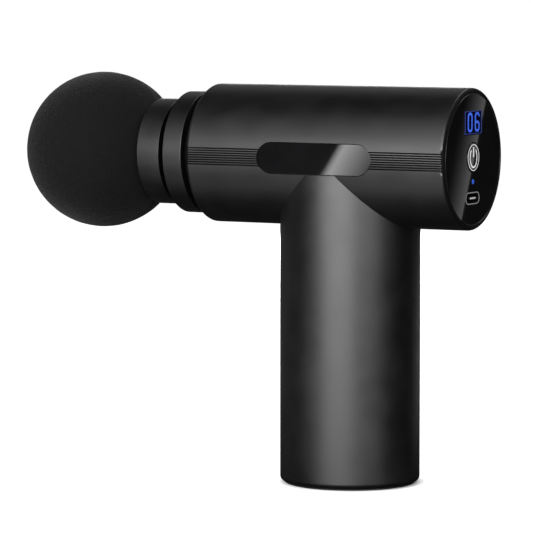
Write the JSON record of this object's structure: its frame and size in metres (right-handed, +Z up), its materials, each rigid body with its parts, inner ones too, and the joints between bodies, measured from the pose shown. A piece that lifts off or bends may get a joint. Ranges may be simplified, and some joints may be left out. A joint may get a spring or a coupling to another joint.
{
  "type": "handheld massage gun",
  "caption": "Cordless T-shaped massage gun: a horizontal barrel on a round handle, a foam ball head on a crank-driven plunger and a rear panel with display, button and port.",
  "frame": {"origin": "centre of the foot pad's underside, under the handle", "axes": "+X along the barrel towards the rear panel, +Z up the handle, the ball head points to -X"},
  "size_m": [0.1601, 0.0514, 0.1307],
  "materials": {
    "shell_plastic": "satin",
    "gloss_black": "gloss",
    "rubber": "matte",
    "foam": "matte",
    "steel": "satin",
    "frame_plastic": "satin",
    "alloy": "satin",
    "dark_steel": "satin",
    "magnet": "satin",
    "copper": "satin",
    "cell_wrap": "satin",
    "white_plastic": "satin",
    "board_green": "satin",
    "chip_black": "satin",
    "lead_red": "satin",
    "lead_yellow": "satin",
    "blue_light": "gloss",
    "white_mark": "satin",
    "trim_metal": "satin",
    "bushing_plastic": "satin"
  },
  "bodies": {
    "body": {"left_shell": "shell_plastic", "right_shell": "shell_plastic", "left_badge": "gloss_black", "right_badge": "gloss_black", "nose_ring": "shell_plastic", "dust_seal": "rubber", "base_cap": "shell_plastic", "foot_pad": "rubber", "base_screws": "steel", "drive_frame": "frame_plastic", "frame_damper": "rubber", "guide_bushing": "bushing_plastic", "shell_screws": "steel", "motor_base": "alloy", "motor_stator": "dark_steel", "motor_windings": "copper", "motor_bearings": "steel", "motor_screws": "steel", "motor_leads": "lead_yellow", "battery_cells": "cell_wrap", "lower_tray": "white_plastic", "upper_tray": "white_plastic", "cell_links": "steel", "protection_board": "board_green", "protection_parts": "chip_black", "battery_leads": "lead_red", "control_board": "board_green", "board_chips": "chip_black", "board_connectors": "white_plastic", "board_screws": "steel", "panel_frame": "frame_plastic", "rear_glass": "gloss_black", "display_module": "gloss_black", "display_marks": "blue_light", "status_light": "blue_light", "tact_switch": "chip_black", "charge_port": "steel", "port_tongue": "frame_plastic", "port_trim": "trim_metal"},
    "crank": {"motor_bell": "dark_steel", "motor_magnets": "magnet", "motor_shaft": "steel", "crank_wheel": "steel", "roller_clip": "steel"},
    "roller": {"crank_roller": "steel"},
    "plunger": {"plunger": "frame_plastic", "yoke": "steel", "yoke_pin": "steel"},
    "head": {"massage_ball": "foam", "head_collar": "shell_plastic", "head_stem": "frame_plastic", "head_o_rings": "rubber"},
    "button": {"power_button": "gloss_black", "power_marks": "white_mark", "switch_plunger": "white_plastic"}
  },
  "joints": [
    {"name": "crank_turn", "type": "hinge", "parent": "body", "child": "crank", "pos_m": [0, 0, 0.095], "axis": [0, 0, 1], "range_deg": [0, 180]},
    {"name": "roller_spin", "type": "hinge", "parent": "crank", "child": "roller", "pos_m": [0.003, 0, 0.105], "axis": [0, 0, 1], "continuous": true},
    {"name": "plunger_slide", "type": "slide", "parent": "body", "child": "plunger", "axis": [-1, 0, 0], "range_m": [0, 0.006]},
    {"name": "head_release", "type": "slide", "parent": "plunger", "child": "head", "axis": [-1, 0, 0], "range_m": [0, 0.024]},
    {"name": "power_press", "type": "slide", "parent": "body", "child": "button", "axis": [-1, 0, 0], "range_m": [0, 0.0005], "stiffness_N_per_m": 4000, "springref_m": -0.0003}
  ],
  "couplings": [
    {"joint": "crank_turn", "follows": "plunger_slide", "rad_per_m": 523.6}
  ]
}
